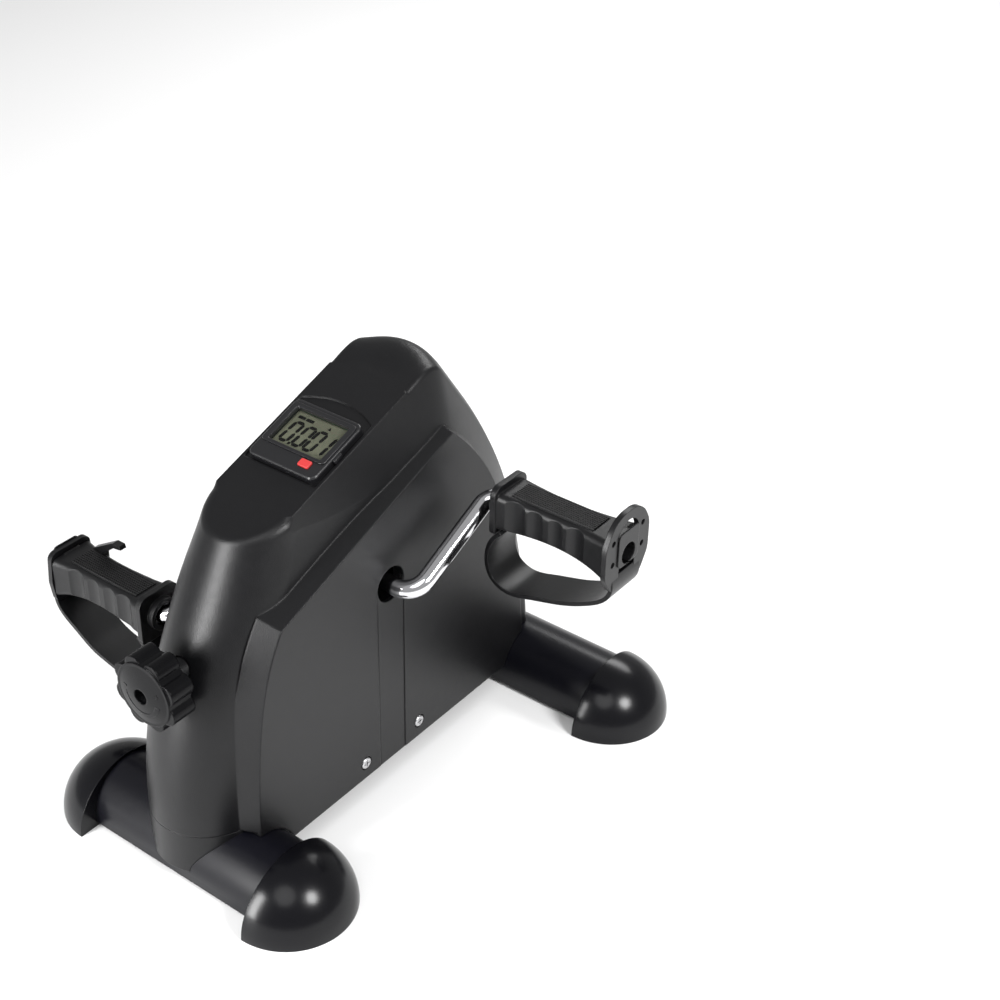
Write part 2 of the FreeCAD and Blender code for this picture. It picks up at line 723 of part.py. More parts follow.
# ---- pedals --------------------------------------------------------------------------------
def pedal_section(x, half, top, bottom, radius):
    corners = [(x, -half, bottom), (x, half, bottom), (x, half, top), (x, -half, top)]
    return rounded_wire(corners, [radius] * 4)


def tread_block(x0, x1, half, z0, z1):
    return box(x0, x1, -half, half, z0, z1)


tread_x0 = pedal_inner + 12.5
tread_x1 = 169.0
tread_half = 10.0
tread_top = 14.0
grip_waves = 4              # shallow finger hollows along each long side of a pedal
grip_pitch = 16.0
grip_radius = 15.0
grip_depth = 0.9
collar_x = 83.5             # the collar reaches in over the spindle's shoulder
collar_radius = 12.5
collar_bore = 8.9


def pedal_body(outer, guard):
    """Waisted right-hand pedal about its own spindle line, with an inner flange and an end boss."""
    sections = [
        pedal_section(pedal_inner + 2, 17.0, 13.5, -16.5, 5.0),
        pedal_section(115.0, 15.0, 12.8, -13.5, 5.0),
        pedal_section(140.0, 14.2, 12.6, -12.5, 5.0),
        pedal_section(160.0, 15.2, 12.8, -13.6, 5.0),
        pedal_section(outer, 18.5, 13.5, -19.0, 5.0),
    ]
    grip = Part.makeLoft(sections, True, False)
    flange_outline = [(-18.5, -20), (18.5, -20), (18.5, 18.5), (-18.5, 18.5)]
    flange = rounded_plate(pedal_inner, pedal_inner + 4.5, flange_outline, [5, 5, 8, 8])
    boss = rounded_plate(outer - 1, guard + 4.8, [(-9, -8), (9, -8), (9, 14), (-9, 14)], [3] * 4)
    lip = rounded_plate(guard + 4.1, guard + 5.0, [(-12, -8), (12, -8), (12, 19), (-12, 19)], [4] * 4)
    collar = cylinder_x(collar_x, pedal_inner + 2, 0, 0, collar_radius)
    for k in range(grip_waves):
        x = tread_x0 + grip_pitch * (k + 0.5)
        for side in (-1, 1):
            hollow = Vector(x, side * (14.0 + grip_radius - grip_depth), -30)
            grip = grip.cut(Part.makeCylinder(grip_radius, 60, hollow))
    body = grip.fuse([flange, boss, lip, collar])
    body = body.cut(strap_band(strap_half_width + 0.3, strap_thickness + 0.6, guard))
    body = body.cut(cylinder_x(collar_x - 5, left_outer - 14, 0, 0, spindle_radius + running_gap))
    body = body.cut(cylinder_x(collar_x - 5, pedal_inner, 0, 0, collar_bore))
    body = body.cut(cylinder_x(left_outer - 14, outer + 20, 0, 0, 8.0))
    body = body.cut(tread_block(tread_x0, tread_x1, tread_half, tread_top - 3.4, 40))
    return body.removeSplitter()


def pedal_tread():
    """Rubber insert with ribs along its length."""
    ribs = 10
    pitch = 2 * tread_half / ribs
    slab = tread_block(tread_x0, tread_x1, tread_half, tread_top - 3.4, tread_top - 1.0)
    bars = []
    for k in range(ribs):
        y = -tread_half + pitch * (k + 0.5)
        bars.append(box(tread_x0, tread_x1, y - pitch * 0.29, y + pitch * 0.29, tread_top - 1.0, tread_top))
    return slab.fuse(bars).removeSplitter()


def thumb_tab():
    """Small raised finger on the rear long side of the left pedal, given as for the right one."""
    outline = [(171, 6), (170, 13), (147, 27), (140, 27), (139, 24), (147, 22.5), (159, 13), (159, 6)]
    face = Part.Face(polygon([(x, 12.0, z) for x, z in outline]))
    return face.extrude(Vector(0, 5.5, 0))


def strap_band(half, thickness, guard):
    """Loop of the strap below the pedal, as one band of even thickness."""
    centre = [
        (pedal_inner + 8.0, -17.0), (pedal_inner - 1.5, -30.0), (pedal_inner - 3.5, -44.0),
        (pedal_inner + 1.0, -57.0), (pedal_inner + 14.0, -63.5), (122.0, -60.0), (150.0, -52.0),
        (guard - 16.0, -43.0), (guard + 0.5, -30.0), (guard + 2.0, -14.0),
    ]
    path = spline_edge([(x, 0, z) for x, z in centre])
    count = 40
    first = path.FirstParameter
    step = (path.LastParameter - first) / count
    outside = []
    inside = []
    for k in range(count + 1):
        point = path.valueAt(first + step * k)
        way = path.tangentAt(first + step * k)
        normal = Vector(way.z, 0, -way.x)
        outside.append(point + normal * thickness / 2)
        inside.append(point - normal * thickness / 2)
    outer_curve = Part.BSplineCurve()
    outer_curve.interpolate(outside)
    inner_curve = Part.BSplineCurve()
    inner_curve.interpolate(inside)
    wire = Part.Wire([
        outer_curve.toShape(),
        Part.LineSegment(outside[-1], inside[-1]).toShape(),
        inner_curve.toShape(),
        Part.LineSegment(inside[0], outside[0]).toShape(),
    ])
    band = Part.Face(wire).extrude(Vector(0, 2 * half, 0))
    band.translate(Vector(0, -half, 0))
    return band


def strap_guard(ear_top, guard):
    """End plate of the strap, hooked over the pedal's boss through its window."""
    side = ear_top - 19
    outline = [
        (-17.5, -24), (17.5, -24), (26, -10), (26, side), (15, ear_top), (-15, ear_top), (-26, side), (-26, -10),
    ]
    radii = [5, 5, 16, 20, 22, 22, 20, 16]
    if ear_top < 30:
        outline = [(-17.5, -24), (17.5, -24), (20, -6), (18, ear_top), (-18, ear_top), (-20, -6)]
        radii = [5, 5, 12, 6, 6, 12]
    plate = rounded_plate(guard, guard + 4.0, outline, radii)
    window_top = 14.4
    opening = [(-9.4, -20), (9.4, -20), (9.4, window_top), (-9.4, window_top)]
    window = rounded_plate(guard - 5, guard + 9, opening, [3] * 4)
    plate = plate.cut(window)
    if ear_top > 30:
        plate = plate.cut(cylinder_x(guard - 5, guard + 9, 0, 13.5, 12.6))
        for y in (-17.5, 17.5):
            for z in (15.5, -1.5):
                plate = plate.cut(cylinder_x(guard - 5, guard + 9, y, z, 2.2))
    return plate


def pedal_strap(ear_top, guard):
    band = strap_band(strap_half_width, strap_thickness, guard)
    return band.fuse(strap_guard(ear_top, guard)).removeSplitter()


def spindle_nut():
    x0 = left_outer - 13.0
    return hexagon_x(x0, x0 + 7.0, 0, 0, 13.0).cut(cylinder_x(0, 300, 0, 0, spindle_radius))


def spindle_washer():
    x0 = pedal_inner - 1.4
    return ring_x(x0, x0 + 1.2, 0, 0, 8.4, spindle_radius + 0.1)


def placed_pedal(shape, side):
    """Put a right-hand pedal piece on its spindle, or its mirror image on the left."""
    y, z = spindle_place(side)
    moved = shape if side > 0 else mirrored(shape)
    moved = moved.copy()
    moved.translate(Vector(0, y, z))
    return moved


# ---- monitor -------------------------------------------------------------------------------
def monitor_case():
    top = rounded_block(monitor_width, monitor_length, -1.2, 4.2, 5.0)
    rim = [e for e in top.Edges if abs(e.BoundBox.ZMin - 4.2) < 0.01]
    top = top.makeFillet(1.8, rim)
    under = rounded_block(monitor_width - 4.6, monitor_length - 4.6, -11.5, -1.2, 3.0)
    case = top.fuse(under)
    case = case.cut(rounded_block(monitor_width - 9, monitor_length - 9, -9.5, 2.2, 2.0))
    window = rounded_block(46.0, 31.0, 0, 10, 1.5)
    window.translate(Vector(0, 4.3, 0))
    case = case.cut(window)
    key = rounded_block(9.4, 6.4, 0, 10, 1.2)
    key.translate(Vector(15.5, -18.3, 0))
    hatch = rounded_block(24.0, 24.0, -20, -9, 1.8)
    return case.cut(key).cut(hatch).removeSplitter()


def lcd_window():
    pane = rounded_block(45.6, 30.6, 2.2, 3.6, 1.3)
    rim = rounded_block(48.5, 33.5, 0.8, 2.2, 1.3)
    both = pane.fuse(rim).removeSplitter()
    both.translate(Vector(0, 4.3, 0))
    return both


def lcd_panel():
    return box(-23, 23, -11.5, 20.1, -1.6, 0.8)


def circuit_board():
    return rounded_block(monitor_width - 9, monitor_length - 9, -3.2, -1.6, 2.0)


def battery():
    return Part.makeCylinder(5.8, 5.4, Vector(0, 0, -8.6))


def battery_door():
    return rounded_block(24.0, 24.0, -11.5, -9.7, 1.8)


button_press = 1.0


def reset_button():
    cap = rounded_block(9.0, 6.0, 1.0, 5.6, 1.0)
    top = [e for e in cap.Edges if abs(e.BoundBox.ZMin - 5.6) < 0.01]
    cap = cap.makeFillet(0.6, top)
    flange = rounded_block(11.0, 8.0, 0.6, 2.0, 1.0)
    both = cap.fuse(flange).removeSplitter()
    both.translate(Vector(15.5, -18.3, 0))
    return both


# ---- sensor --------------------------------------------------------------------------------
def reed_sensor():
    return box(12.5, bracket_x, axle_y - 6, axle_y + 6, axle_z - 38, axle_z - 27)


cable_route = [
    (18, axle_y + 6, axle_z - 32), (18, 22, axle_z - 28), (17, 52, axle_z - 6), (15, 64, 200),
    (12, 56, 228), (6, 36, 242), (0, 4, 244), (0, -17, 250), (0, -23.24, 264.64),
]


def tangent_radii(points, share):
    """Largest arc at each corner that its two runs allow."""
    radii = []
    for i in range(1, len(points) - 1):
        before = Vector(*points[i - 1]) - Vector(*points[i])
        after = Vector(*points[i + 1]) - Vector(*points[i])
        half = before.getAngle(after) / 2
        radii.append(share * min(before.Length, after.Length) * math.tan(half))
    return radii


def sensor_cable():
    radii = tangent_radii(cable_route, 0.45)
    print("cable arc radii:", [round(r, 1) for r in radii])
    return bent_tube(cable_route, radii, 1.5)


def cable_plug():
    """Plug at the cable's upper end, just below the monitor's underside."""
    return box(-5, 5, 2, 9, -17.5, -11.8)


# ---- the whole assembly --------------------------------------------------------------------
def solids_of(shapes):
    return Part.makeCompound(shapes)


def build_nodes():
    nodes = {}
    nodes["front_bar"] = floor_bar(front_rim + bar_in_cap, -bar_offset)
    nodes["rear_bar"] = floor_bar(rear_rim + bar_in_cap, bar_offset)
    for name, rim, y in (("front", front_rim, -bar_offset), ("rear", rear_rim, bar_offset)):
        cap = end_cap(rim, y)
        nodes[name + "_cap_right"] = cap
        nodes[name + "_cap_left"] = mirrored(cap)
    nodes["frame_spine"] = frame_spine()
    nodes["bearing_bracket_right"] = bearing_bracket()
    nodes["bearing_bracket_left"] = mirrored(bearing_bracket())
    nodes["axle_bushes"] = solids_of([axle_bush(), mirrored(axle_bush())])
    nodes["bracket_bolts"] = solids_of([bracket_bolt(s, t) for s in (-1, 1) for t in (-1, 1)])
    nodes["housing_shell"] = housing_shell()
    nodes["slot_cover_right"] = slot_cover()
    nodes["slot_cover_left"] = mirrored(slot_cover())
    nodes["front_bib"] = front_bib()
    nodes["housing_screws"] = solids_of([housing_screw(s, t) for s in (-1, 1) for t in (-1, 1)])
    nodes["brake_guide"] = brake_guide()
    nodes["knob_bush"] = knob_bush()
    nodes["reed_sensor"] = reed_sensor()
    nodes["sensor_cable"] = sensor_cable()
    nodes["cable_plug"] = on_face(cable_plug())

    nodes["crank_rod"] = crank_rod()
    nodes["friction_drum"] = friction_drum()
    nodes["drum_hub"] = drum_hub()
    nodes["hub_pin"] = hub_pin()
    nodes["drum_magnet"] = drum_magnet()
    nodes["axle_collars"] = solids_of([axle_collar(), mirrored(axle_collar())])

    left_body = pedal_body(left_outer, left_guard).fuse(thumb_tab()).removeSplitter()
    nodes["pedal_body_right"] = placed_pedal(pedal_body(right_outer, right_guard), 1)
    nodes["pedal_body_left"] = placed_pedal(left_body, -1)
    nodes["pedal_strap_right"] = placed_pedal(pedal_strap(right_ear_top, right_guard), 1)
    nodes["pedal_strap_left"] = placed_pedal(pedal_strap(left_ear_top, left_guard), -1)
    for name, side in (("right", 1), ("left", -1)):
        nodes["pedal_tread_" + name] = placed_pedal(pedal_tread(), side)
        nodes["spindle_nut_" + name] = placed_pedal(spindle_nut(), side)
        nodes["spindle_washer_" + name] = placed_pedal(spindle_washer(), side)

    nodes["knob"] = knob()
    nodes["tension_screw"] = tension_screw()
    nodes["shoe_carrier"] = shoe_carrier()
    nodes["brake_pad"] = brake_pad()

    nodes["monitor_case"] = on_face(monitor_case())
    nodes["lcd_window"] = on_face(lcd_window())
    nodes["lcd_panel"] = on_face(lcd_panel())
    nodes["circuit_board"] = on_face(circuit_board())
    nodes["battery"] = on_face(battery())
    nodes["battery_door"] = on_face(battery_door())
    nodes["reset_button"] = on_face(reset_button())
    return nodes


def main():
    os.makedirs("parts", exist_ok=True)
    for name, shape in build_nodes().items():
        shape.exportStep(os.path.join("parts", name + ".step"))


main()
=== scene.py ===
import json
import math

import bpy
from mathutils import Matrix, Vector


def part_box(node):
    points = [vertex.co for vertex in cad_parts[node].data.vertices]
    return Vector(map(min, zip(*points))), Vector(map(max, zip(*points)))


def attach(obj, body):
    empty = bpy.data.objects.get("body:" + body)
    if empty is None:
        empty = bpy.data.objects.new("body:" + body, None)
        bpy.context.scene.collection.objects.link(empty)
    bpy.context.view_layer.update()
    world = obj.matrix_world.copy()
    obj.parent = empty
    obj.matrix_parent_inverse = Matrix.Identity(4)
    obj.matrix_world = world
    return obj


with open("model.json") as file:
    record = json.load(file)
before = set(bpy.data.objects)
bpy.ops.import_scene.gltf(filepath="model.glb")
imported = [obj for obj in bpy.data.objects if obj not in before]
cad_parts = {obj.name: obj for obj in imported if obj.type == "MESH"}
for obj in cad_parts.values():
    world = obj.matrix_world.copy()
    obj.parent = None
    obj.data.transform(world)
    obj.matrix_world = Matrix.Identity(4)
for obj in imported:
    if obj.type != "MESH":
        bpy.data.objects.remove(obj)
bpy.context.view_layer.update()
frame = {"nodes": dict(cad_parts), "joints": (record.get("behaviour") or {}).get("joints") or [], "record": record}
nodes = frame["nodes"]
joints = {joint["name"]: joint for joint in frame["joints"]}

MM = 0.001


# ---- materials -----------------------------------------------------------------------------
def new_material(name):
    material = bpy.data.materials.new(name)
    material.use_nodes = True
    tree = material.node_tree
    shader = tree.nodes["Principled BSDF"]
    return material, tree, shader


def add_node(tree, kind, **settings):
    node = tree.nodes.new(kind)
    for key, value in settings.items():
        setattr(node, key, value)
    return node


def noise_texture(tree, scale, detail=2.0):
    """Noise that is fixed to the piece, as a value from 0 to 1."""
    coords = add_node(tree, "ShaderNodeTexCoord")
    texture = add_node(tree, "ShaderNodeTexNoise")
    texture.inputs["Scale"].default_value = scale
    texture.inputs["Detail"].default_value = detail
    tree.links.new(coords.outputs["Object"], texture.inputs["Vector"])
    return texture.outputs["Fac"]


def mapped(tree, source, low, high):
    """A 0 to 1 value stretched to the span from low to high."""
    span = add_node(tree, "ShaderNodeMapRange")
    span.inputs["To Min"].default_value = low
    span.inputs["To Max"].default_value = high
    tree.links.new(source, span.inputs["Value"])
    return span.outputs["Result"]


def soft_edges(tree, radius):
    """Normals that round every sharp edge by a small radius."""
    node = add_node(tree, "ShaderNodeBevel", samples=6)
    node.inputs["Radius"].default_value = radius
    return node.outputs["Normal"]


GRAIN_DEPTH = 0.0003


def bump(tree, shader, height, strength, normal):
    node = add_node(tree, "ShaderNodeBump")
    node.inputs["Strength"].default_value = strength
    node.inputs["Distance"].default_value = GRAIN_DEPTH
    tree.links.new(height, node.inputs["Height"])
    tree.links.new(normal, node.inputs["Normal"])
    tree.links.new(node.outputs["Normal"], shader.inputs["Normal"])


def surface(name, color, rough, spread=0.04, metallic=0.0, grain=0.0, grain_size=900.0,
            specular=0.5, shade=0.15, patch=60.0, edge=0.0008):
    """Procedural finish: slight cloudiness of colour and roughness, fine grain and softened edges.

    spread and shade say how far roughness and colour wander, patch and grain_size are the scales
    of the cloudiness and the grain, and edge is the radius in metres that sharp edges look to have.
    """
    material, tree, shader = new_material(name)
    shader.inputs["Metallic"].default_value = metallic
    shader.inputs["Specular IOR Level"].default_value = specular
    cloud = noise_texture(tree, patch, 3.0)
    mix = add_node(tree, "ShaderNodeMix", data_type="RGBA")
    dark = [c * (1 - shade) for c in color]
    light = [c * (1 + shade) for c in color]
    mix.inputs["A"].default_value = (*dark, 1)
    mix.inputs["B"].default_value = (*light, 1)
    tree.links.new(cloud, mix.inputs["Factor"])
    tree.links.new(mix.outputs["Result"], shader.inputs["Base Color"])
    rough_noise = noise_texture(tree, patch * 3, 4.0)
    roughness = mapped(tree, rough_noise, rough - spread, rough + spread)
    tree.links.new(roughness, shader.inputs["Roughness"])
    rounded = soft_edges(tree, edge)
    if grain:
        bump(tree, shader, noise_texture(tree, grain_size, 1.0), grain, rounded)
    else:
        tree.links.new(rounded, shader.inputs["Normal"])
    return material


def window_glass(name):
    """Clear window that lets the display through and keeps a faint reflection."""
    material, tree, shader = new_material(name)
    shader.inputs["Base Color"].default_value = (0.05, 0.055, 0.05, 1)
    shader.inputs["Alpha"].default_value = 0.07
    shader.inputs["Specular IOR Level"].default_value = 0.3
    shader.inputs["IOR"].default_value = 1.45
    roughness = mapped(tree, noise_texture(tree, 80), 0.06, 0.12)
    tree.links.new(roughness, shader.inputs["Roughness"])
    return material


BLACK = (0.003, 0.003, 0.0036)

FINISHES = {
    "housing_plastic": dict(color=BLACK, rough=0.37, grain=0.3, grain_size=1500, specular=0.3, edge=0.0016),
    "bib_plastic": dict(color=BLACK, rough=0.37, grain=0.2, grain_size=1500, specular=0.3),
    "cap_plastic": dict(color=(0.002, 0.002, 0.003), rough=0.22, spread=0.02, grain=0.02, specular=0.25),
    "bar_paint": dict(color=(0.003, 0.003, 0.005), rough=0.30, spread=0.03, grain=0.06, grain_size=500,
                      specular=0.25),
    "frame_paint": dict(color=(0.02, 0.02, 0.02), rough=0.4, grain=0.1, grain_size=600),
    "chrome": dict(color=(0.72, 0.72, 0.74), rough=0.09, spread=0.03, metallic=1.0, shade=0.05),
    "steel": dict(color=(0.55, 0.55, 0.56), rough=0.28, metallic=1.0, grain=0.05, edge=0.0002),
    "bush_bronze": dict(color=(0.5, 0.33, 0.15), rough=0.35, metallic=1.0, grain=0.2),
    "drum_iron": dict(color=(0.2, 0.2, 0.21), rough=0.4, metallic=1.0, grain=0.2, grain_size=400),
    "magnet": dict(color=(0.5, 0.5, 0.52), rough=0.2, metallic=1.0),
    "pedal_plastic": dict(color=(0.004, 0.004, 0.0045), rough=0.38, grain=0.25, grain_size=1300,
                          specular=0.3, edge=0.0012),
    "tread_rubber": dict(color=(0.005, 0.005, 0.0055), rough=0.55, grain=0.15, specular=0.3, edge=0.0004),
    "strap_rubber": dict(color=(0.004, 0.004, 0.0045), rough=0.36, grain=0.12, specular=0.3),
    "knob_plastic": dict(color=(0.003, 0.003, 0.0035), rough=0.24, grain=0.18, grain_size=1400,
                         specular=0.1, edge=0.0014),
    "guide_plastic": dict(color=(0.1, 0.1, 0.1), rough=0.45, grain=0.1),
    "felt": dict(color=(0.25, 0.23, 0.2), rough=0.9, grain=0.9, grain_size=700),
    "monitor_plastic": dict(color=(0.006, 0.006, 0.007), rough=0.30, grain=0.15, grain_size=1600),
    "lcd_green": dict(color=(0.17, 0.178, 0.125), rough=0.5, grain=0.05, specular=0.1),
    "lcd_ink": dict(color=(0.003, 0.003, 0.003), rough=0.6, specular=0.05),
    "board_green": dict(color=(0.03, 0.2, 0.08), rough=0.4, grain=0.1),
    "cell_steel": dict(color=(0.6, 0.6, 0.6), rough=0.2, metallic=1.0),
    "button_red": dict(color=(0.45, 0.03, 0.03), rough=0.38, shade=0.08, grain=0.05, edge=0.0005),
    "cable_jacket": dict(color=(0.02, 0.02, 0.02), rough=0.5, grain=0.1),
}

looks = {name: surface(name, **finish) for name, finish in FINISHES.items()}
looks["lcd_glass"] = window_glass("lcd_glass")

slot_of = {row["node"]: row["material_slot"] for row in frame["record"]["subparts"]}
for name, node in nodes.items():
    for mesh_slot in node.material_slots:
        mesh_slot.material = looks[slot_of[name]]


# ---- small building blocks -----------------------------------------------------------------
def mesh_piece(name, vertices, faces, body, slot, look, bevel=0.0):
    """A piece of its own mesh that rides on a body; only a bevelled piece is smooth shaded."""
    mesh = bpy.data.meshes.new(name)
    mesh.from_pydata(vertices, [], faces)
    mesh.update()
    piece = bpy.data.objects.new(name, mesh)
    bpy.context.collection.objects.link(piece)
    mesh.materials.append(looks[look])
    if bevel:
        mesh.shade_smooth()
        add_bevel(piece, bevel)
    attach(piece, body)


def add_bevel(piece, width):
    edge = piece.modifiers.new("edge", "BEVEL")
    edge.width = width
    edge.segments = 3
    edge.limit_method = "ANGLE"
    edge.angle_limit = math.radians(35)
    edge.harden_normals = True


def stacked(rings, placed):
    """Vertices of (outline, level) rings, put in place by a function, one ring after another."""
    return [placed(a, b, level) for outline, level in rings for a, b in outline]


def plate(outline, low, high, placed):
    """Vertices and faces of a plate with an (a, b) outline, from low to high."""
    count = len(outline)
    vertices = stacked(((outline, low), (outline, high)), placed)
    faces = [tuple(reversed(range(count))), tuple(range(count, 2 * count))]
    for k in range(count):
        following = (k + 1) % count
        faces.append((k, following, count + following, count + k))
    return vertices, faces


def tube_between(outer, inner, low, high, placed, closed):
    """The space between two outlines with equally many points: a frame if closed, else a band."""
    count = len(outer)
    vertices = stacked(((outer, low), (outer, high), (inner, high), (inner, low)), placed)
    faces = []
    for ring in range(4):
        start = ring * count
        following_ring = ((ring + 1) % 4) * count
        for k in range(count if closed else count - 1):
            following = (k + 1) % count
            faces.append((start + k, start + following, following_ring + following, following_ring + k))
    if not closed:
        faces.append((0, count, 2 * count, 3 * count))
        faces.append((4 * count - 1, 3 * count - 1, 2 * count - 1, count - 1))
    return vertices, faces


def joined(parts):
    vertices = []
    faces = []
    for part_vertices, part_faces in parts:
        base = len(vertices)
        vertices += part_vertices
        faces += [tuple(base + k for k in face) for face in part_faces]
    return vertices, faces


def rectangle(cx, cy, width, height):
    left = cx - width / 2
    right = cx + width / 2
    bottom = cy - height / 2
    top = cy + height / 2
    return [(left, bottom), (right, bottom), (right, top), (left, top)]


CORNER_STEPS = 6


def rounded_rectangle(cx, cy, width, height, radius):
    points = []
    for k, (sx, sy) in enumerate(((1, -1), (1, 1), (-1, 1), (-1, -1))):
        ox = cx + sx * (width / 2 - radius)
        oy = cy + sy * (height / 2 - radius)
        for j in range(CORNER_STEPS + 1):
            angle = math.radians(-90 + 90 * k + 90 * j / CORNER_STEPS)
            points.append((ox + radius * math.cos(angle), oy + radius * math.sin(angle)))
    return points


# ---- monitor: digits, bezel, latch (millimetres on its face) --------------------------------
# The monitor lifts square to its face, so its joint's axis gives the face's tilt.
lift_axis = joints["monitor_lift"]["axis"]
tilt = math.atan2(-lift_axis[1], lift_axis[2])
face_turn = Matrix.Rotation(tilt, 3, "X")
panel_low, panel_high = (Vector(corner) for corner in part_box("lcd_panel"))
panel_centre = (panel_low + panel_high) / 2
panel_from_origin = Vector((0, 4.3, -0.4))
display_origin = panel_centre - face_turn @ panel_from_origin * MM


def on_display(a, b, c):
    """From millimetres across, up and out of the monitor's face to metres in the part's frame."""
    return tuple(display_origin + face_turn @ Vector((a, b, c)) * MM)


INK_LOW = 0.8
INK_HIGH = 0.95

SEGMENTS = {"0": "abcdef", "1": "bc"}
DIGITS = (("0", -19.5), ("0", -8.3), ("0", 1.4), ("1", 9.8))
DIGIT_WIDTH = 6.8
DIGIT_HEIGHT = 17.5
DIGIT_BOTTOM = -6.5
STROKE = 2.5
STROKE_GAP = 0.25
SLANT = 0.12

FLAG_BOTTOM = 14.2
FLAG_HEIGHT = 2.4


def segment_outline(letter, left):
    """Six-cornered stroke of a slanted seven-segment digit, a at the top and d at the bottom."""
    h = STROKE / 2
    if letter in "ad":
        y = DIGIT_HEIGHT if letter == "a" else 0.0
        x0 = STROKE_GAP
        x1 = DIGIT_WIDTH - STROKE_GAP
        points = [(x0, y), (x0 + h, y - h), (x1 - h, y - h), (x1, y), (x1 - h, y + h), (x0 + h, y + h)]
    else:
        x = DIGIT_WIDTH if letter in "bc" else 0.0
        y0 = STROKE_GAP + (DIGIT_HEIGHT / 2 if letter in "bf" else 0.0)
        y1 = y0 + DIGIT_HEIGHT / 2 - 2 * STROKE_GAP
        points = [(x, y0), (x + h, y0 + h), (x + h, y1 - h), (x, y1), (x - h, y1 - h), (x - h, y0 + h)]
    return [(left + px + py * SLANT, DIGIT_BOTTOM + py) for px, py in points]


def lcd_ink():
    """Digits, decimal point, arrowhead and two blocks, in that order."""
    outlines = [segment_outline(letter, left) for text, left in DIGITS for letter in SEGMENTS[text]]
    outlines.append(rectangle(-10.0, -6.8, 2.0, 2.0))
    outlines.append([(7.0, FLAG_BOTTOM), (9.6, FLAG_BOTTOM), (8.3, 17.0)])
    for left, right in ((-19.5, -13.5), (-12.5, -6.0)):
        middle = FLAG_BOTTOM + FLAG_HEIGHT / 2
        outlines.append(rectangle((left + right) / 2, middle, right - left, FLAG_HEIGHT))
    return joined([plate(outline, INK_LOW, INK_HIGH, on_display) for outline in outlines])


mesh_piece("lcd_digits", *lcd_ink(), body="monitor", slot="lcd_green", look="lcd_ink")

bezel = tube_between(rounded_rectangle(0, 4.6, 55.5, 37.5, 3.0), rounded_rectangle(0, 4.3, 46.4, 31.4, 1.6),
                     4.0, 5.2, on_display, closed=True)
mesh_piece("monitor_bezel", *bezel, body="monitor", slot="monitor_plastic", look="monitor_plastic",
           bevel=0.0006)

latch = plate(rounded_rectangle(30.2, -3.0, 2.4, 8.0, 0.6), -0.6, 3.2, on_display)
mesh_piece("monitor_latch", *latch, body="monitor", slot="monitor_plastic", look="monitor_plastic",
           bevel=0.0004)

# ---- knob: wedge-shaped arc, minus and plus (millimetres on its face) -------------------------
knob_low, knob_high = (Vector(corner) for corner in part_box("knob"))
knob_x = (knob_low.x + knob_high.x) / 2
knob_z = (knob_low.z + knob_high.z) / 2

DOME_RADIUS = 90.0
MARK_LOW = -0.3
MARK_HIGH = 0.35
MARK_STROKE = 1.0

WEDGE_STEPS = 28
WEDGE_START = 185
WEDGE_SWEEP = 165
WEDGE_RADIUS = 14.2


def on_knob(a, b, c):
    """From millimetres across, up and out of the knob's dome to metres in the part's frame."""
    sag = DOME_RADIUS - math.sqrt(DOME_RADIUS * DOME_RADIUS - a * a - b * b)
    return (knob_x + a * MM, knob_low.y + (sag - c) * MM, knob_z + b * MM)


def wedge_outlines():
    """Outer and inner edge of the arc, which widens from minus to plus."""
    outer = []
    inner = []
    for k in range(WEDGE_STEPS + 1):
        t = k / WEDGE_STEPS
        angle = math.radians(WEDGE_START + WEDGE_SWEEP * t)
        half = 0.25 + 1.9 * t
        for edge, radius in ((outer, WEDGE_RADIUS + half), (inner, WEDGE_RADIUS - half)):
            edge.append((radius * math.cos(angle), radius * math.sin(angle)))
    return outer, inner


minus = rectangle(-14.6, 2.6, 3.4, MARK_STROKE)
plus_across = rectangle(14.0, 6.2, 3.6, MARK_STROKE)
plus_up = rectangle(14.0, 6.2, MARK_STROKE, 3.6)
marks = [tube_between(*wedge_outlines(), MARK_LOW, MARK_HIGH, on_knob, closed=False)]
marks += [plate(outline, MARK_LOW, MARK_HIGH, on_knob) for outline in (minus, plus_across, plus_up)]
mesh_piece("knob_marks", *joined(marks), body="tension_knob", slot="knob_plastic", look="knob_plastic",
           bevel=0.00012)

# ---- light seals: strips inside the housing, behind the seams of the slot covers ---------------
SEAL_MARGIN = 2 * MM
SEAL_BOTTOM = 44 * MM
SEAL_TOP = 150 * MM


def light_seal(cover, side):
    """Strip behind a slot cover, 0.5 mm thick and 0.2 mm clear of it; side is 1 on +X and -1 on -X."""
    low, high = (Vector(corner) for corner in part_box(cover))
    inner_face = min(abs(low.x), abs(high.x))
    outline = [(low.y - SEAL_MARGIN, SEAL_BOTTOM), (high.y + SEAL_MARGIN, SEAL_BOTTOM),
               (high.y + SEAL_MARGIN, SEAL_TOP), (low.y - SEAL_MARGIN, SEAL_TOP)]

    def inside(a, b, c):
        return (side * (inner_face + c), a, b)

    return plate(outline[::side], -0.7 * MM, -0.2 * MM, inside)


for hand, side in (("right", 1), ("left", -1)):
    mesh_piece("light_seal_" + hand, *light_seal("slot_cover_" + hand, side), body="frame",
               slot="housing_plastic", look="housing_plastic")

# ---- the stage -----------------------------------------------------------------------------
FLOOR_REACH = 6.0


def pale_floor():
    material, tree, shader = new_material("pale_floor")
    shader.inputs["Base Color"].default_value = (0.9, 0.9, 0.9, 1)
    roughness = mapped(tree, noise_texture(tree, 3), 0.55, 0.65)
    tree.links.new(roughness, shader.inputs["Roughness"])
    return material


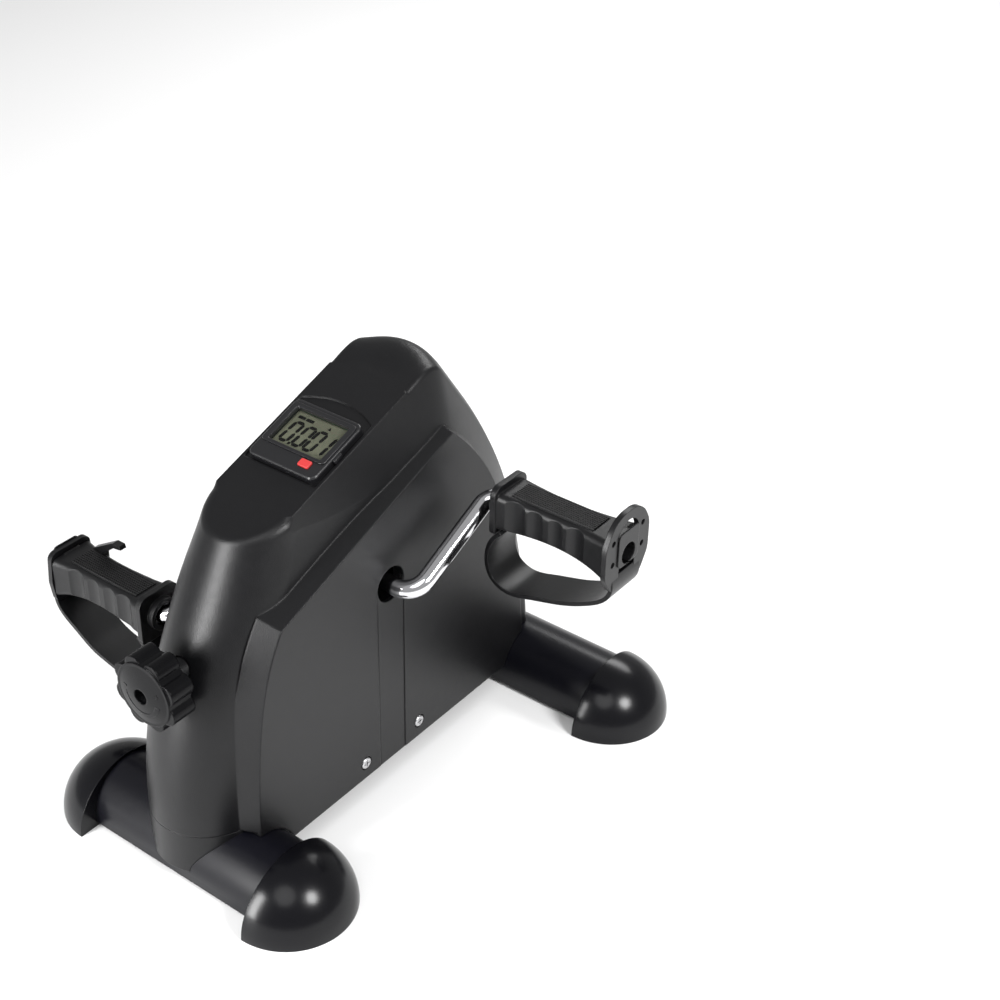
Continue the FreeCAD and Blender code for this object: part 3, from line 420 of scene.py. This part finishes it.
floor_mesh = bpy.data.meshes.new("floor")
floor_corners = [(x, y, 0) for x, y in rectangle(0, 0, 2 * FLOOR_REACH, 2 * FLOOR_REACH)]
floor_mesh.from_pydata(floor_corners, [], [(0, 1, 2, 3)])
floor_mesh.materials.append(pale_floor())
floor = bpy.data.objects.new("floor", floor_mesh)
bpy.context.collection.objects.link(floor)


def area_light(name, position, target, size, power, shape="ELLIPSE"):
    """Area light at a position that points at a target, with its size in metres and its power in watts."""
    data = bpy.data.lights.new(name, "AREA")
    data.shape = shape
    data.size, data.size_y = size
    data.energy = power
    lamp = bpy.data.objects.new(name, data)
    bpy.context.collection.objects.link(lamp)
    lamp.location = position
    lamp.rotation_euler = (Vector(target) - Vector(position)).to_track_quat("-Z", "Y").to_euler()


area_light("key", (1.35, -0.1, 1.15), (0, 0, 0.15), (0.55, 0.55), 26)
area_light("nose_strip", (-0.32, -1.25, 0.5), (0, -0.1, 0.15), (0.28, 0.9), 26, "RECTANGLE")
area_light("back", (-0.3, 1.6, 1.5), (-0.3, 1.1, 0.0), (1.4, 0.6), 20)
area_light("overhead", (0.9, -1.6, 2.6), (0, 0.6, 0.0), (1.8, 1.8), 22)

scene = bpy.context.scene
scene.view_settings.view_transform = "Standard"
scene.world = bpy.data.worlds.new("studio")
scene.world.use_nodes = True
background = scene.world.node_tree.nodes["Background"]
background.inputs["Color"].default_value = (1, 1, 1, 1)
background.inputs["Strength"].default_value = 0.45

# ---- the camera, at the photograph's angle ---------------------------------------------------
azimuth = math.radians(36.233)
elevation = math.radians(33.094)
roll = math.radians(1.502)
camera_place = Vector((0.6876, -0.7539, 0.8805))

back_x = math.sin(azimuth) * math.cos(elevation)
back_y = -math.cos(azimuth) * math.cos(elevation)
back = Vector((back_x, back_y, math.sin(elevation)))
level_right = (-back).cross(Vector((0, 0, 1))).normalized()
level_up = level_right.cross(-back)
right = level_right * math.cos(roll) + level_up * math.sin(roll)
up = level_up * math.cos(roll) - level_right * math.sin(roll)

camera_data = bpy.data.cameras.new("camera")
camera_data.sensor_width = 36
camera_data.lens = 62.67
camera = bpy.data.objects.new("camera", camera_data)
bpy.context.collection.objects.link(camera)
camera.matrix_world = Matrix.Translation(camera_place) @ Matrix((right, up, back)).transposed().to_4x4()
scene.camera = camera

bpy.context.view_layer.update()
